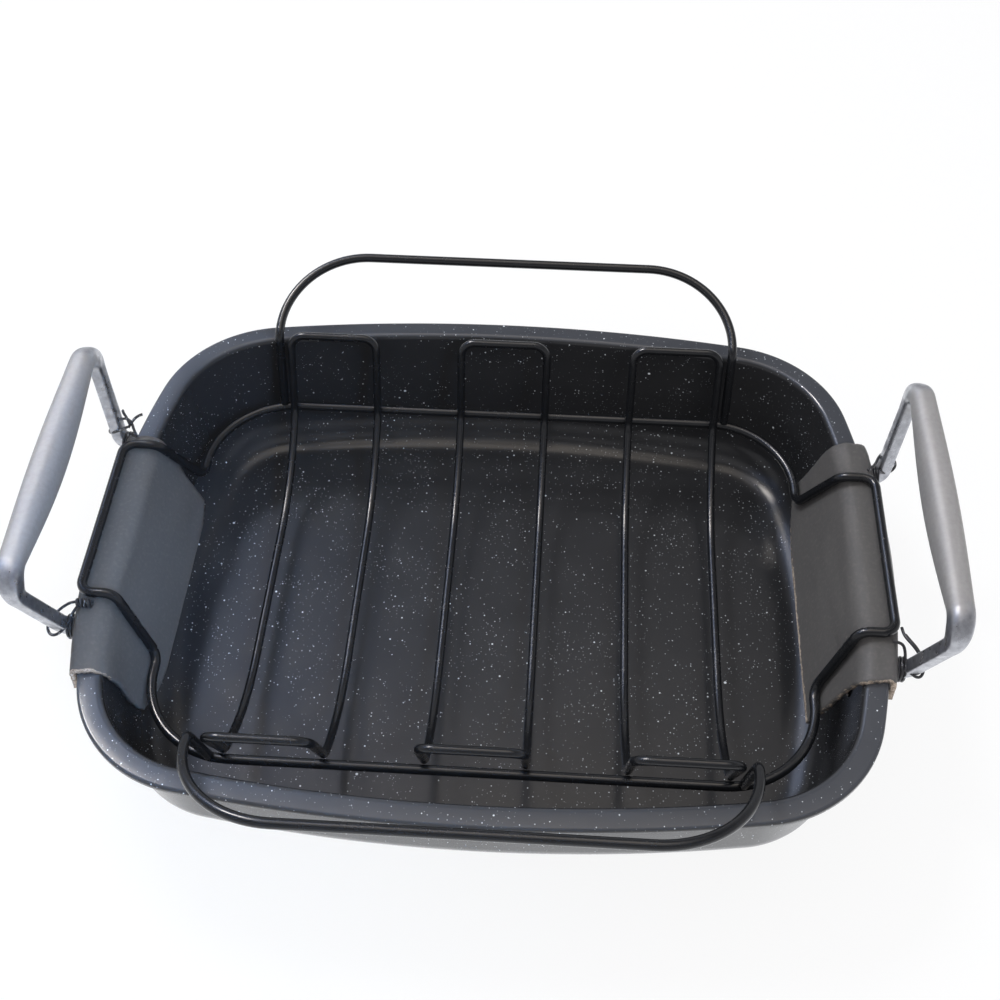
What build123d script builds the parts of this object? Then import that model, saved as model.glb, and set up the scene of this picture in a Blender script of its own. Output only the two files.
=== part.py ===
"""Roasting pan with a hanging wire rack, in millimetres.

The origin is the middle of the pan's underside. X runs along the pan, Y across it from
the front to the back, and Z up. The pan stands on the plane Z = 0.
"""

from math import atan2, ceil, cos, degrees, hypot, radians, sin, sqrt, tan
import os

from build123d import *

os.makedirs("parts", exist_ok=True)

# Pan shell, drawn from one sheet
pan_length = 406.0
pan_width = 320.0
pan_height = 76.0
end_arc_radius = 442.0
side_arc_radius = 916.0
corner_radius = 68.0
sheet = 1.0
rim_band = 12.0
hem_depth = 3.4
hem_bend = 1.8
rim_bend = 3.5
wall_draft = 4.0
cove_radius = 22.0
floor_seam_margin = 2.0

# Clearances, and the overrun of every cut
seat_gap = 0.3
plate_gap = 0.05
hole_gap = 0.05
weld_gap = 0.1
overrun = 20.0

# Handles, one casting at each end
foot_spacing = 123.0
foot_width = 17.0
foot_height = 31.0
foot_thickness = 3.0
foot_corner = 4.0
foot_top_drop = 3.9
arm_reach = 25.0
arm_bend = 8.0
leg_width = 7.6
leg_thickness = 7.0
leg_edge = 1.4
knuckle_out = 9.6
knuckle_rise = 51.0
knuckle_spacing = 159.2
elbow_radius = 10.5
grip_end_height = 11.4
grip_end_thickness = 12.2
grip_middle_height = 19.2
grip_middle_thickness = 15.0
grip_place_shares = (0.0, 0.12, 0.32, 0.65, 1.0)
grip_swell_shares = (0.0, 0.13, 0.48, 0.87, 1.0)
grip_round_share = 0.44

# Rivets, two through each foot
rivet_count = 2
rivet_diameter = 4.5
rivet_head_diameter = 8.4
rivet_head_height = 1.8
rivet_head_edge = 0.6
rivet_top_drop = 18.5
rivet_pitch = 10.0

# Rack wires
frame_wire = 5.0
cradle_wire = 4.5
bail_wire = 5.0

# Rack frame, a closed loop with an ear at each end
frame_side_gap = 43.5
frame_end_gap = 36.0
frame_drop = 32.0
frame_corner_straight = 9.5
riser_foot_y = 60.0
riser_bend = 8.0
riser_head_inset = 17.5
ear_half_width = 49.0
ear_inset = 1.5
ear_corner = 7.0

# Rack cradles, three long loops that carry the roast
cradle_names = ("left", "middle", "right")
wire_pitch = 49.1
cradle_rise = 45.5
cradle_lean = 21.5
cradle_sink = 25.5
cradle_slope = 35.5
cradle_neck_bend = 12.0
cradle_floor_bend = 105.0
cradle_end_bend = 8.0

# Rack bails, one at the front and one at the back
bail_side_step = 6.4
bail_out = 48.5
bail_climb = 17.8
bail_kink_bend = 7.0
bail_corner = 48.5

# Board pads folded over the end rims
pad_thickness = 3.0
pad_fold_cut = 3.6
pad_crease_cut = 1.4
pad_knee_rise = 3.5
pad_curl = 0.6
pad_straight_half = 53.0
pad_lip = 9.0
pad_flap = 44.0
pad_length = 152.0
pad_shift_right = -2.0
pad_shift_left = -19.0
pad_notch_gap = 1.4
pad_station_step = 22.0
pad_tear_shares = ((0.5, 0.1), (0.34, 0.5), (0.22, 0.68), (0.01, 0.86), (-0.17, 0.82), (-0.3, 0.74),
                   (-0.34, 0.93), (-0.47, 0.96), (-0.5, 0.1))

# Tie wires at the four corners of the ears
tie_wire = 1.8
tie_ring_bend = 3.0
tie_ring_share = 0.05
tie_hump = 5.6
tie_reach = 8.5
tie_bend = 4.0
tie_end = 12.0


# Sizes that follow from the pan's size and the gaps

frame_half_width = pan_width / 2 - frame_side_gap
frame_half_length = pan_length / 2 - frame_end_gap
frame_corner = frame_half_width - riser_foot_y - frame_corner_straight

# Plan of the rim: an oval of eight arcs, each tangent to the next

end_centre_x = pan_length / 2 - end_arc_radius
side_centre_y = pan_width / 2 - side_arc_radius


def corner_centre():
    """Centre of the corner arc that touches both the end arc and the side arc."""
    end_reach = end_arc_radius - corner_radius
    side_reach = side_arc_radius - corner_radius
    span = hypot(end_centre_x, side_centre_y)
    along = (end_reach**2 - side_reach**2 + span**2) / (2 * span)
    across = sqrt(end_reach**2 - along**2)
    step_x = -end_centre_x / span
    step_y = side_centre_y / span
    return (
        end_centre_x + step_x * along - step_y * across,
        step_y * along + step_x * across,
    )


corner_x, corner_y = corner_centre()
end_angle = degrees(atan2(corner_y, corner_x - end_centre_x))
side_angle = degrees(atan2(corner_y - side_centre_y, corner_x))


def quarter_outline(inset):
    """The quarter of the rim's plan between +X and +Y, drawn inside the edge by an inset."""
    with BuildLine(mode=Mode.PRIVATE) as quarter:
        CenterArc((end_centre_x, 0), end_arc_radius - inset, 0, end_angle)
        CenterArc((corner_x, corner_y), corner_radius - inset, end_angle, side_angle - end_angle)
        CenterArc((0, side_centre_y), side_arc_radius - inset, side_angle, 90 - side_angle)
    return quarter.line


def rim_sag(y):
    """How far the end of the rim falls back from its middle at a place across the pan."""
    return end_arc_radius - sqrt(end_arc_radius**2 - y**2)


# Section of the shell, measured inwards from the rim's edge and upwards

draft_run = tan(radians(wall_draft))
wall_foot = rim_band + (pan_height - sheet) * draft_run
floor_inset = wall_foot + cove_radius * tan(radians(45 - wall_draft / 2)) + floor_seam_margin


def outer_wall_inset(height):
    """Inset of the wall's outer face at a height above the table."""
    return rim_band + (pan_height - height) * draft_run - sheet / cos(radians(wall_draft))


# Foot planes lie on the end wall's outer face, with Z out of the wall and Y up along it


def foot_plane(height):
    """Plane on the wall's outer face where the right handle's back foot sits."""
    radius = end_arc_radius - outer_wall_inset(height)
    turn = degrees(atan2(foot_spacing / 2, radius))
    tilt = radians(wall_draft)
    out = Vector(1, 0, 0).rotate(Axis.Z, turn)
    across = Vector(0, 1, 0).rotate(Axis.Z, turn)
    seat = Vector(end_centre_x, 0, height) + out * radius
    return Plane(origin=seat, x_dir=across, z_dir=out * cos(tilt) - Vector(0, 0, sin(tilt)))


foot_middle = pan_height - foot_top_drop - foot_height / 2
arm_middle = pan_height - foot_top_drop - leg_thickness / 2
rivet_planes = [foot_plane(pan_height - rivet_top_drop - rivet_pitch * step) for step in range(rivet_count)]
section_plane = Plane(origin=(pan_length / 2, 0, 0), x_dir=(-1, 0, 0), z_dir=(0, 1, 0))

with BuildPart() as pan_shell:
    with BuildSketch(section_plane):
        with BuildLine():
            inside = FilletPolyline(
                (0, pan_height - hem_depth),
                (0, pan_height),
                (rim_band, pan_height),
                (wall_foot, sheet),
                (floor_inset, sheet),
                radius=[hem_bend, rim_bend, cove_radius],
            )
            outside = FilletPolyline(
                (sheet, pan_height - hem_depth),
                (sheet, pan_height - sheet),
                (outer_wall_inset(pan_height - sheet), pan_height - sheet),
                (outer_wall_inset(0), 0),
                (floor_inset, 0),
                radius=[hem_bend - sheet, rim_bend - sheet, cove_radius + sheet],
            )
            Line(inside @ 0, outside @ 0)
            Line(inside @ 1, outside @ 1)
        make_face()
    sweep(path=quarter_outline(0))
    with Locations(*rivet_planes):
        Cylinder(rivet_diameter / 2 + hole_gap, 2 * overrun, mode=Mode.SUBTRACT)
    mirror(about=Plane.XZ)
    mirror(about=Plane.YZ)
    with BuildSketch(Plane.XY):
        with BuildLine():
            add(quarter_outline(floor_inset))
            mirror(about=Plane.XZ)
            mirror(about=Plane.YZ)
        make_face()
    extrude(amount=sheet)

# Handle: a run of sections out of the foot, up the leg and along the grip, and back the same way

arm_plane = foot_plane(arm_middle)
arm_start = arm_plane.origin + arm_plane.z_dir * (foot_thickness / 2)
leg_root = arm_plane.origin + Vector(arm_reach - leg_thickness / 2, 0, 0)
knuckle_height = pan_height + knuckle_rise - leg_root.Z
lean = atan2(knuckle_out, knuckle_height)
lean_out = Vector(cos(lean), 0, -sin(lean))
knuckle = Vector(leg_root.X + knuckle_out, knuckle_spacing / 2, leg_root.Z + knuckle_height)

with BuildLine():
    handle_path = FilletPolyline(
        (arm_start.X, leg_root.Y, leg_root.Z),
        leg_root,
        knuckle,
        (knuckle.X, -knuckle.Y, knuckle.Z),
        (leg_root.X, -leg_root.Y, leg_root.Z),
        radius=[arm_bend, elbow_radius, elbow_radius],
    )

back_arm, back_heel, back_leg, back_elbow, grip_run = handle_path.edges()[:5]
grip_low = (grip_middle_height - grip_end_height) / 2
grip_outward = (grip_middle_thickness - grip_end_thickness) / 2


def grip_plane(place, swell):
    """Plane of the grip's section at a share of its run, moved down and outwards by its swell."""
    plane = Plane(origin=grip_run @ place, x_dir=lean_out, z_dir=grip_run % 0)
    plane.origin = plane.from_local_coords((grip_outward * swell, -grip_low * swell))
    return plane


def grip_size(swell):
    """Thickness, height and edge radius of the grip's section at a swell."""
    thickness = grip_end_thickness + swell * (grip_middle_thickness - grip_end_thickness)
    height = grip_end_height + swell * (grip_middle_height - grip_end_height)
    return thickness, height, grip_round_share * thickness


grip_profile = [(place / 2, swell) for place, swell in zip(grip_place_shares, grip_swell_shares)]
grip_profile += [(1 - place, swell) for place, swell in grip_profile[-2::-1]]

with BuildPart() as right_handle:
    with BuildSketch(Plane(origin=back_arm @ 0, x_dir=(0, 0, -1), z_dir=back_arm % 0)):
        RectangleRounded(leg_thickness, leg_width, leg_edge)
    arm = extrude(amount=back_arm.length)
    with BuildSketch(Plane(origin=back_heel @ 0, x_dir=(0, 0, -1), z_dir=back_heel % 0)):
        RectangleRounded(leg_thickness, leg_width, leg_edge)
    heel = sweep(path=back_heel)
    with BuildSketch(Plane(origin=back_leg @ 0, x_dir=lean_out, z_dir=back_leg % 0)):
        RectangleRounded(leg_thickness, leg_width, leg_edge)
    leg = extrude(amount=back_leg.length)
    with BuildSketch(Plane(origin=back_elbow @ 0, x_dir=lean_out, z_dir=back_elbow % 0)):
        RectangleRounded(leg_thickness, leg_width, leg_edge)
    with BuildSketch(grip_plane(0, 0)):
        RectangleRounded(*grip_size(0))
    elbow = sweep(path=back_elbow, multisection=True)
    for limb in (arm, heel, leg, elbow):
        mirror(limb, about=Plane.XZ)
    for place, swell in grip_profile:
        with BuildSketch(grip_plane(place, swell)):
            RectangleRounded(*grip_size(swell))
    loft()
    with BuildSketch(foot_plane(foot_middle).offset(plate_gap)):
        RectangleRounded(foot_width, foot_height, foot_corner)
    foot = extrude(amount=foot_thickness)
    mirror(foot, about=Plane.XZ)
    with Locations(*rivet_planes):
        Cylinder(rivet_diameter / 2 + hole_gap, 2 * overrun, mode=Mode.SUBTRACT)
    with Locations(*[plane.location.mirror(Plane.XZ) for plane in rivet_planes]):
        Cylinder(rivet_diameter / 2 + hole_gap, 2 * overrun, mode=Mode.SUBTRACT)

with BuildPart() as left_handle:
    mirror(right_handle.part, about=Plane.YZ)

# Rivet: a shank with a low dome inside the pan and another on the foot

dome_rise = rivet_head_height - rivet_head_edge
dome_radius = (rivet_head_diameter**2 / 4 + dome_rise**2) / (2 * dome_rise)
dome_waist = sqrt(dome_radius**2 - rivet_head_diameter**2 / 16) - (dome_radius - dome_rise)


def head_points(seat, side):
    """Shank corner, head rim and dome points of a head that stands on a seat plane."""
    return (
        (rivet_diameter / 2, seat),
        (rivet_head_diameter / 2, seat),
        (rivet_head_diameter / 2, seat + side * rivet_head_edge),
        (rivet_head_diameter / 4, seat + side * (rivet_head_edge + dome_waist)),
        (0, seat + side * rivet_head_height),
    )


inner_head = head_points(-sheet - plate_gap, -1)
outer_head = head_points(foot_thickness + 2 * plate_gap, 1)

with BuildPart() as rivet:
    with BuildSketch(Plane.XZ):
        with BuildLine():
            Polyline(inner_head[4], outer_head[4])
            for head in (inner_head, outer_head):
                Polyline(*head[:3])
                ThreePointArc(*head[2:])
            Line(inner_head[0], outer_head[0])
        make_face()
    revolve(axis=Axis.Z)

with BuildPart() as right_handle_rivets:
    with Locations(*rivet_planes):
        add(rivet.part)
    mirror(about=Plane.XZ)

with BuildPart() as left_handle_rivets:
    mirror(right_handle_rivets.part, about=Plane.YZ)

# Rack frame: the long sides hang in the pan, and each end climbs over the rim as an ear

frame_z = pan_height - frame_drop
ear_x = pan_length / 2 - ear_inset
ear_z = pan_height + pad_thickness + 2 * seat_gap + frame_wire / 2
riser_head_x = ear_x - riser_head_inset
frame_back = [
    (0, frame_half_width, frame_z),
    (frame_half_length, frame_half_width, frame_z),
    (frame_half_length, riser_foot_y, frame_z),
    (riser_head_x, ear_half_width, ear_z),
    (ear_x, ear_half_width, ear_z),
]
frame_bends = [frame_corner, riser_bend, riser_bend, ear_corner]

with BuildPart() as rack_frame:
    with BuildLine():
        frame_path = FilletPolyline(
            *frame_back,
            *[(x, -y, z) for x, y, z in reversed(frame_back)],
            radius=frame_bends + frame_bends[::-1],
        )
    with BuildSketch(Plane(origin=frame_path @ 0, z_dir=frame_path % 0)):
        Circle(frame_wire / 2)
    sweep(path=frame_path)
    mirror(about=Plane.YZ)

# Rack cradles: each is one wire bent to a long loop, with both ends raised

lean_reach = ((frame_wire + cradle_wire) / 2 + weld_gap) / cos(radians(cradle_lean))
neck_y = frame_half_width - lean_reach
cradle_end_y = neck_y + cradle_rise * tan(radians(cradle_lean))
cradle_end_z = frame_z + cradle_rise
cradle_floor_y = neck_y - cradle_sink / tan(radians(cradle_slope))
cradle_floor_z = frame_z - cradle_sink
cradle_bends = [cradle_end_bend, cradle_neck_bend, cradle_floor_bend]


def rack_cradle(middle_x):
    """One cradle loop around a place along the pan."""
    side_x = middle_x + wire_pitch / 2
    back = [
        (middle_x, cradle_end_y, cradle_end_z),
        (side_x, cradle_end_y, cradle_end_z),
        (side_x, neck_y, frame_z),
        (side_x, cradle_floor_y, cradle_floor_z),
    ]
    with BuildPart() as cradle:
        with BuildLine():
            path = FilletPolyline(
                *back,
                *[(x, -y, z) for x, y, z in reversed(back)],
                radius=cradle_bends + cradle_bends[::-1],
            )
        with BuildSketch(Plane(origin=path @ 0, z_dir=path % 0)):
            Circle(cradle_wire / 2)
        sweep(path=path)
        mirror(about=Plane.YZ.offset(middle_x))
    return cradle.part


rack_cradles = {}
for place, name in enumerate(cradle_names):
    middle = (place - (len(cradle_names) - 1) / 2) * 2 * wire_pitch
    rack_cradles[f"rack_cradle_{name}"] = rack_cradle(middle)

# Rack bails: each leg stands on the frame's corner, kinks at the cradles' ends and leans out

bail_x = (len(cradle_names) - 1 / 2) * wire_pitch + bail_side_step
bail_step = bail_x - (frame_half_length - frame_corner)
bail_seat = Vector(
    bail_x,
    frame_half_width - frame_corner + sqrt(frame_corner**2 - bail_step**2),
    frame_z,
)
bail_kink = Vector(bail_x, cradle_end_y, cradle_end_z)
bail_foot = bail_seat + (bail_kink - bail_seat).normalized() * (frame_wire / 2 + weld_gap)
bail_bar = Vector(bail_x, cradle_end_y + bail_out, cradle_end_z + bail_climb)

with BuildPart() as rack_bail_back:
    with BuildLine():
        bail_path = FilletPolyline(
            bail_foot,
            bail_kink,
            bail_bar,
            (-bail_bar.X, bail_bar.Y, bail_bar.Z),
            (-bail_kink.X, bail_kink.Y, bail_kink.Z),
            (-bail_foot.X, bail_foot.Y, bail_foot.Z),
            radius=[bail_kink_bend, bail_corner, bail_corner, bail_kink_bend],
        )
    with BuildSketch(Plane(origin=bail_path @ 0, z_dir=bail_path % 0)):
        Circle(bail_wire / 2)
    sweep(path=bail_path)

with BuildPart() as rack_bail_front:
    mirror(rack_bail_back.part, about=Plane.XZ)

# Rim pads: a board folded over the rim, with a flap that leans in under the riser wires

flap_run = (riser_head_x - frame_half_length) / (ear_z - frame_z)
flap_slant = sqrt(1 + flap_run**2)
pad_top = pan_height + seat_gap + pad_thickness
pad_under = pan_height + seat_gap
flap_end = pan_height - pad_flap
knee_z = frame_z + pad_knee_rise
lip_end = pan_height - pad_lip
pad_notch_top = pan_height - foot_top_drop + pad_notch_gap


def flap_x(height, depth):
    """Place of the flap at a height, measured under the riser wires by a depth."""
    return frame_half_length + (height - frame_z) * flap_run + (frame_wire / 2 + seat_gap + depth) * flap_slant


def folded(before, corner, after, cut):
    """The two points that cut a section's corner back by the same length on both sides."""
    corner = Vector(*corner)
    return [corner + (Vector(*side) - corner).normalized() * cut for side in (before, after)]


def pad_section(y):
    """Corners of the pad's section at one place across the pan."""
    edge_x = pan_length / 2 - rim_sag(y) + seat_gap
    fold_back = max(0, rim_sag(y) - rim_sag(pad_straight_half))
    inner_end = (flap_x(flap_end, pad_curl), flap_end)
    inner_knee = (flap_x(knee_z, 0), knee_z)
    outer_knee = (flap_x(knee_z, pad_thickness), knee_z)
    outer_end = (flap_x(flap_end, pad_thickness + pad_curl), flap_end)
    inner_fold = (flap_x(pad_top, 0) - fold_back, pad_top)
    outer_fold = (flap_x(pad_under, pad_thickness) - fold_back, pad_under)
    return [
        inner_end,
        inner_knee,
        *folded(inner_knee, inner_fold, (edge_x, pad_top), pad_fold_cut),
        (edge_x + pad_thickness, pad_top),
        (edge_x + pad_thickness, lip_end),
        (edge_x, lip_end),
        (edge_x, pad_under),
        *folded((edge_x, pad_under), outer_fold, outer_knee, pad_crease_cut),
        outer_knee,
        outer_end,
    ]


def pad_stations(shift):
    """Places of the pad's sections, with one at each end of the straight part of its fold."""
    places = [shift - pad_length / 2, -pad_straight_half, pad_straight_half, shift + pad_length / 2]
    stations = []
    for start, stop in zip(places, places[1:]):
        steps = ceil((stop - start) / pad_station_step)
        stations += [start + (stop - start) * step / steps for step in range(steps)]
    return stations + places[-1:]


def rim_pad(shift):
    """The pad for the right end, moved across the pan by a shift."""
    with BuildPart() as pad:
        for y in pad_stations(shift):
            with BuildSketch(Plane(origin=(0, y, 0), x_dir=(1, 0, 0), z_dir=(0, -1, 0))):
                with BuildLine():
                    Polyline(*pad_section(y), close=True)
                make_face()
        loft(ruled=True)
        with BuildSketch(Plane.YZ):
            with BuildLine():
                Polyline(
                    (shift - pad_length / 2, pad_top + overrun),
                    (shift + pad_length / 2, pad_top + overrun),
                    *[(shift + share * pad_length, pan_height - drop * pad_flap)
                      for share, drop in pad_tear_shares],
                    close=True,
                )
            make_face()
        extrude(amount=pan_length, mode=Mode.INTERSECT)
        with Locations(*[(leg_root.X, side * leg_root.Y, pad_notch_top - overrun) for side in (1, -1)]):
            Box(2 * arm_reach, leg_width + 2 * pad_notch_gap, 2 * overrun, mode=Mode.SUBTRACT)
    return pad.part


right_rim_pad = rim_pad(pad_shift_right)
left_rim_pad = rim_pad(pad_shift_left).mirror(Plane.YZ)

# Tie wires: a ring round the handle's leg, with a tail that lies against the ear

ring_spot = back_leg @ tie_ring_share
ring_plane = Plane(origin=ring_spot, x_dir=lean_out, z_dir=back_leg % 0)
ring_margin = tie_wire / 2 + seat_gap
ring_thickness = leg_thickness + 2 * ring_margin
ring_width = leg_width + 2 * ring_margin
tail_z = pad_top + seat_gap + tie_wire / 2
tail_clear = (frame_wire + tie_wire) / 2 + seat_gap
tail_x = ear_x + sqrt(tail_clear**2 - (ear_z - tail_z) ** 2)
tail_start = ring_spot - lean_out * (ring_thickness / 2)

with BuildPart() as tie_back_right:
    with BuildLine(ring_plane):
        ring_path = FilletPolyline(
            (0, ring_width / 2),
            (-ring_thickness / 2, ring_width / 2),
            (-ring_thickness / 2, -ring_width / 2),
            (0, -ring_width / 2),
            radius=tie_ring_bend,
        )
    with BuildSketch(Plane(origin=ring_path @ 0, z_dir=ring_path % 0)):
        Circle(tie_wire / 2)
    sweep(path=ring_path)
    mirror(about=Plane(origin=ring_spot, z_dir=lean_out))
    with BuildLine():
        tail_path = FilletPolyline(
            tail_start,
            (tail_x, ear_half_width + tie_reach, pan_height + tie_hump),
            (tail_x, ear_half_width - tie_end, tail_z),
            radius=tie_bend,
        )
    with BuildSketch(Plane(origin=tail_path @ 0, z_dir=tail_path % 0)):
        Circle(tie_wire / 2)
    sweep(path=tail_path)

with BuildPart() as tie_front_right:
    mirror(tie_back_right.part, about=Plane.XZ)

with BuildPart() as tie_back_left:
    mirror(tie_back_right.part, about=Plane.YZ)

with BuildPart() as tie_front_left:
    mirror(tie_front_right.part, about=Plane.YZ)

# Files, one for each piece

pieces = {
    "pan_shell": pan_shell.part,
    "right_handle": right_handle.part,
    "left_handle": left_handle.part,
    "right_handle_rivets": right_handle_rivets.part,
    "left_handle_rivets": left_handle_rivets.part,
    "rack_frame": rack_frame.part,
    **rack_cradles,
    "rack_bail_back": rack_bail_back.part,
    "rack_bail_front": rack_bail_front.part,
    "right_rim_pad": right_rim_pad,
    "left_rim_pad": left_rim_pad,
    "tie_back_right": tie_back_right.part,
    "tie_front_right": tie_front_right.part,
    "tie_back_left": tie_back_left.part,
    "tie_front_left": tie_front_left.part,
}

for name, piece in pieces.items():
    piece.label = name
    export_step(piece, f"parts/{name}.step")
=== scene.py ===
"""Enamelled roasting pan with a lift-out wire rack, dressed for a studio picture.

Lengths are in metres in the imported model's frame: X along the pan, Y towards the back and
Z up from the surface that the pan stands on.
"""

from math import atan2, cos, exp, hypot, pi, radians, sin, sqrt, tan

import bmesh
import bpy
from mathutils import Euler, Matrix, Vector, noise


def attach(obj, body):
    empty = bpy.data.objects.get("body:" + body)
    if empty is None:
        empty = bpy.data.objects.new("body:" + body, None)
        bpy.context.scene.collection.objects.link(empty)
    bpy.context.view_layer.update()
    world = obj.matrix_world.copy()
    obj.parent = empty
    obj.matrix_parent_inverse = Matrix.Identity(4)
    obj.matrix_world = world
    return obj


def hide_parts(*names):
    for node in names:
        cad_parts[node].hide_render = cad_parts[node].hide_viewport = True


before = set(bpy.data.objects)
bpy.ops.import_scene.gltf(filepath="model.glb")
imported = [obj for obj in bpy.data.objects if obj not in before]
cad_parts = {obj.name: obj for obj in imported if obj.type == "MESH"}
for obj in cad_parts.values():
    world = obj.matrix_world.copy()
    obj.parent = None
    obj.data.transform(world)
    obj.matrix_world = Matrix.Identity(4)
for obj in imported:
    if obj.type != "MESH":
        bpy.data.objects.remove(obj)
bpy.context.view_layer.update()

MM = 0.001
MERGE_DISTANCE = 0.001 * MM

# Sizes of the pan, as in the solids

PAN_LENGTH = 406 * MM
PAN_WIDTH = 320 * MM
PAN_HEIGHT = 76 * MM
END_ARC = 442 * MM
SIDE_ARC = 916 * MM
CORNER_ARC = 68 * MM
SHEET = 1 * MM
RIM_BAND = 12 * MM
HEM_DEPTH = 3.4 * MM
HEM_BEND = 1.8 * MM
RIM_BEND = 3.5 * MM
WALL_DRAFT = radians(4)
COVE = 22 * MM
FLOOR_MARGIN = 2 * MM

END_CENTRE_X = PAN_LENGTH / 2 - END_ARC
SIDE_CENTRE_Y = PAN_WIDTH / 2 - SIDE_ARC


# Small helpers


def link_object(name, data):
    """A new object in the scene's collection."""
    made = bpy.data.objects.new(name, data)
    bpy.context.scene.collection.objects.link(made)
    return made


def mesh_object(name, edit):
    """An object from a closed mesh, with its normals outward and its faces smooth."""
    bmesh.ops.recalc_face_normals(edit, faces=edit.faces)
    if edit.calc_volume(signed=True) < 0:
        bmesh.ops.reverse_faces(edit, faces=edit.faces)
    for face in edit.faces:
        face.smooth = True
    mesh = bpy.data.meshes.new(name)
    edit.to_mesh(mesh)
    edit.free()
    return link_object(name, mesh)


def between(first, second, share):
    """A number between two numbers."""
    return first + (second - first) * share


def grid_spot(knot, columns, rows):
    """The column and the row of a point in a flat grid that reaches from -1 to 1."""
    return round((knot.co.x + 1) / 2 * columns), round((knot.co.y + 1) / 2 * rows)


def loft(edit, rings):
    """Adds a tube: a grid rolled round the rings, joined, and closed by a face over each end."""
    around = len(rings[0])
    rows = len(rings) - 1
    made = bmesh.ops.create_grid(edit, x_segments=around, y_segments=rows, size=1)
    for knot in made["verts"]:
        column, row = grid_spot(knot, around, rows)
        knot.co = rings[row][column % around]
    bmesh.ops.remove_doubles(edit, verts=made["verts"], dist=MERGE_DISTANCE)
    ends = [edge for edge in edit.edges if edge.is_boundary]
    bmesh.ops.holes_fill(edit, edges=ends, sides=0)


def dress(piece, material, body=None):
    """Gives a piece its material and slot, and its body when it isn't one of the solids."""
    if piece.type == "MESH":
        piece.data.materials.clear()
    piece.data.materials.append(material)
    if body:
        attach(piece, body)
    return piece


class NodeTree:
    """Short calls that add nodes to a tree."""

    def __init__(self, owner):
        owner.use_nodes = True
        self.tree = owner.node_tree
        self.tree.nodes.clear()

    def node(self, kind, settings=None, **inputs):
        """A node with settings on it, and its inputs linked or set."""
        made = self.tree.nodes.new(kind)
        for key, value in (settings or {}).items():
            setattr(made, key, value)
        for key, value in inputs.items():
            socket = made.inputs[int(key[1:])] if key[1:].isdigit() else made.inputs[key]
            self.feed(socket, value)
        return made

    def feed(self, socket, value):
        """Links a socket to another one, or sets it."""
        if isinstance(value, bpy.types.NodeSocket):
            self.tree.links.new(value, socket)
        elif socket.type == "RGBA":
            socket.default_value = (*value, 1)
        else:
            socket.default_value = value

    def math(self, operation, first, second=0.0, clamp=False):
        """The result of one sum."""
        settings = {"operation": operation, "use_clamp": clamp}
        return self.node("ShaderNodeMath", settings, i0=first, i1=second).outputs[0]

    def noise(self, scale, detail=2.0, place=None, roughness=0.5):
        """Noise between 0 and 1, with its scale in waves per metre."""
        made = self.node("ShaderNodeTexNoise", Vector=place or self.place, Scale=scale,
                         Detail=detail, Roughness=roughness)
        return made.outputs["Fac"]

    def even_noise(self, scale, detail, size):
        """Noise round zero, times a size."""
        return self.math("MULTIPLY", self.math("SUBTRACT", self.noise(scale, detail), 0.5), size)

    def ramp(self, factor, low, high, start=0.0, stop=1.0):
        """A number that goes from start to stop as a factor goes from low to high."""
        made = self.node("ShaderNodeMapRange", i0=factor, i1=low, i2=high, i3=start, i4=stop)
        return made.outputs[0]

    def mix(self, factor, first, second, blend="MIX"):
        """A colour between two colours, each one linked or given by three numbers."""
        settings = {"data_type": "RGBA", "blend_type": blend}
        return self.node("ShaderNodeMix", settings, i0=factor, i6=first, i7=second).outputs[2]

    def axes(self, vector):
        """The three numbers of a vector."""
        return self.node("ShaderNodeSeparateXYZ", Vector=vector).outputs

    def stretched(self, x, y, z):
        """The place on the object, stretched along each axis."""
        settings = {"operation": "MULTIPLY"}
        return self.node("ShaderNodeVectorMath", settings, i0=self.place, i1=(x, y, z)).outputs[0]


class Surface(NodeTree):
    """A material's nodes, around one shader."""

    def __init__(self, name, **values):
        self.material = bpy.data.materials.new(name)
        super().__init__(self.material)
        self.output = self.node("ShaderNodeOutputMaterial")
        self.shader = self.node("ShaderNodeBsdfPrincipled")
        self.feed(self.output.inputs["Surface"], self.shader.outputs["BSDF"])
        for socket, value in values.items():
            self.shader.inputs[socket.replace("_", " ")].default_value = value
        self.place = self.node("ShaderNodeTexCoord").outputs["Object"]

    def into(self, socket, value):
        """Feeds one of the shader's sockets."""
        self.feed(self.shader.inputs[socket], value)

    def patchy(self, socket, scale, detail, start, stop):
        """Feeds one of the shader's sockets from noise, spread between two values."""
        self.into(socket, self.ramp(self.noise(scale, detail), 0.3, 0.7, start, stop))

    def bump(self, height, distance):
        """Feeds the shader's normal from a height."""
        made = self.node("ShaderNodeBump", Height=height, Distance=distance, Strength=1.0)
        self.into("Normal", made.outputs[0])


# Materials: each pair of colours is the darker and the lighter end of a patchy tone

GLAZE = ((0.0195, 0.0197, 0.021), (0.027, 0.0272, 0.0288))
# Painted sheen: a lighter, bluish tone on the rim's top that stands in for the reflection seen
# there
RIM_PAINTED_SHEEN = ((0.046, 0.049, 0.057), (0.062, 0.065, 0.073))
RIM_SHEEN_DEPTH = (1.2 * MM, 0.3 * MM)
SPECK_COLOUR = (0.78, 0.82, 0.86)
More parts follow.
